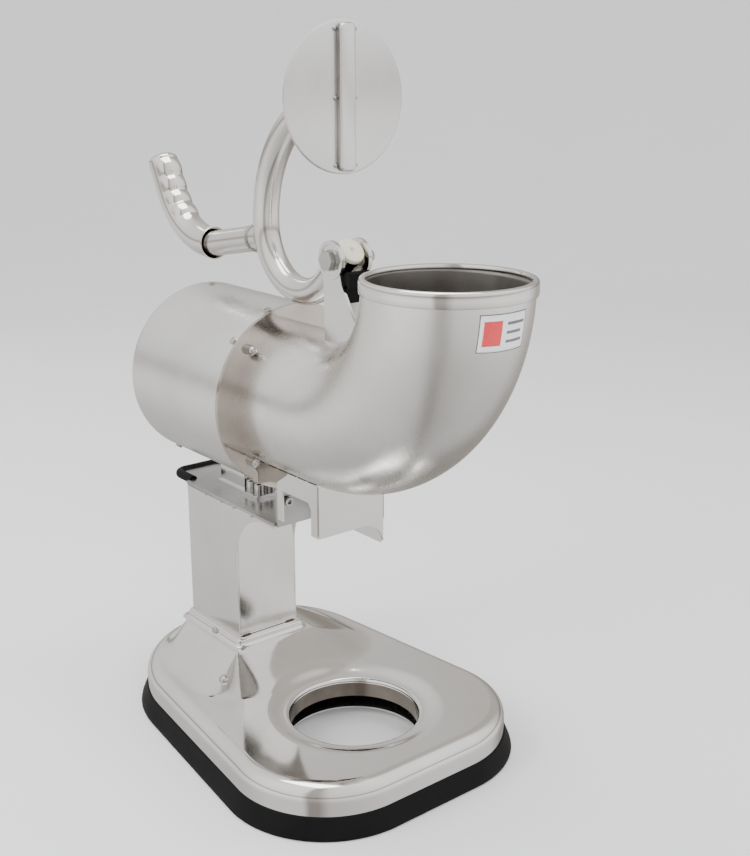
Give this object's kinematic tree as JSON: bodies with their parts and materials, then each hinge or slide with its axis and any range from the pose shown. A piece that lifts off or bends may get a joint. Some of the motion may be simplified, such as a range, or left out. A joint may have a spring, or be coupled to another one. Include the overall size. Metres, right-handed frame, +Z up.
{
  "type": "shaved ice machine",
  "caption": "Countertop ice shaver: bent steel tube hopper on a motor housing, pedestal stand with a bowl hole, and a swinging press arm with a round plate.",
  "frame": {"origin": "centre of the whole machine's footprint, on the table plane", "axes": "+Z up, the hopper end faces -Y, the motor end and the open handle face +Y, +X to the right seen from the hopper end"},
  "size_m": [0.303, 0.5336, 0.6795],
  "materials": {
    "polished_steel": "mirror polished stainless steel",
    "satin_steel": "fine brushed stainless sheet",
    "fastener_steel": "bright turned steel",
    "black_rubber": "moulded rubber",
    "cream_nylon": "natural nylon",
    "black_plastic": "moulded plastic",
    "rocker_plastic": "gloss moulded plastic",
    "zinc_plate": "zinc plated sheet",
    "core_steel": "varnished laminations",
    "copper_wire": "enamelled copper",
    "cast_aluminium": "as cast",
    "capacitor_can": "moulded plastic"
  },
  "bodies": {
    "stand": {"hopper_elbow": "polished_steel", "hopper_collar": "polished_steel", "base_pan": "polished_steel", "motor_sleeve": "polished_steel", "rear_cover": "polished_steel", "front_flange": "polished_steel", "column_left": "satin_steel", "column_right": "satin_steel", "column_front": "satin_steel", "column_rear": "satin_steel", "top_shelf": "satin_steel", "front_mount_plate": "satin_steel", "cradle": "satin_steel", "chute_left": "satin_steel", "chute_right": "satin_steel", "chute_front": "satin_steel", "bracket_ear_left": "satin_steel", "bracket_ear_right": "satin_steel", "bracket_web": "satin_steel", "column_foot": "satin_steel", "base_plate_screws": "fastener_steel", "pan_screw": "fastener_steel", "foot_screws": "fastener_steel", "mount_screws": "fastener_steel", "cradle_screws": "fastener_steel", "sleeve_screws": "fastener_steel", "dome_nuts": "fastener_steel", "tie_rods": "fastener_steel", "web_screw": "fastener_steel", "pivot_bolt": "fastener_steel", "pivot_nut": "fastener_steel", "pivot_washers": "fastener_steel", "shaft_bearings": "fastener_steel", "base_skirt": "black_rubber", "edge_guard": "black_rubber", "stop_pad": "black_rubber", "switch_body": "black_plastic", "cord_gland": "black_plastic", "terminal_block": "black_plastic", "base_plate": "zinc_plate", "stator_core": "core_steel", "stator_windings": "copper_wire", "rear_bearing_plate": "cast_aluminium", "run_capacitor": "capacitor_can"},
    "press_arm": {"arm_tube": "satin_steel", "handle_tube": "satin_steel", "grip": "polished_steel", "press_plate": "polished_steel", "press_rib": "polished_steel", "rib_rivets": "fastener_steel", "end_plug": "cream_nylon", "pivot_bush": "cream_nylon"},
    "rotor": {"rotor_shaft": "fastener_steel", "rotor_core": "core_steel", "cooling_fan": "black_plastic", "blade_disc": "satin_steel", "blades": "satin_steel", "blade_screws": "fastener_steel", "disc_nut": "fastener_steel"},
    "rocker": {"switch_rocker": "rocker_plastic"}
  },
  "joints": [
    {"name": "press_arm_hinge", "type": "hinge", "parent": "stand", "child": "press_arm", "pos_m": [0, -0.06078, 0.481], "axis": [1, 0, 0], "range_deg": [0, 168]},
    {"name": "rotor_spin", "type": "hinge", "parent": "stand", "child": "rotor", "pos_m": [0, 0.00322, 0.34], "axis": [0, 1, 0], "continuous": true},
    {"name": "switch_rock", "type": "hinge", "parent": "stand", "child": "rocker", "pos_m": [0.033, 0.12122, 0.146], "axis": [0, 1, 0], "range_deg": [0, 18]}
  ]
}
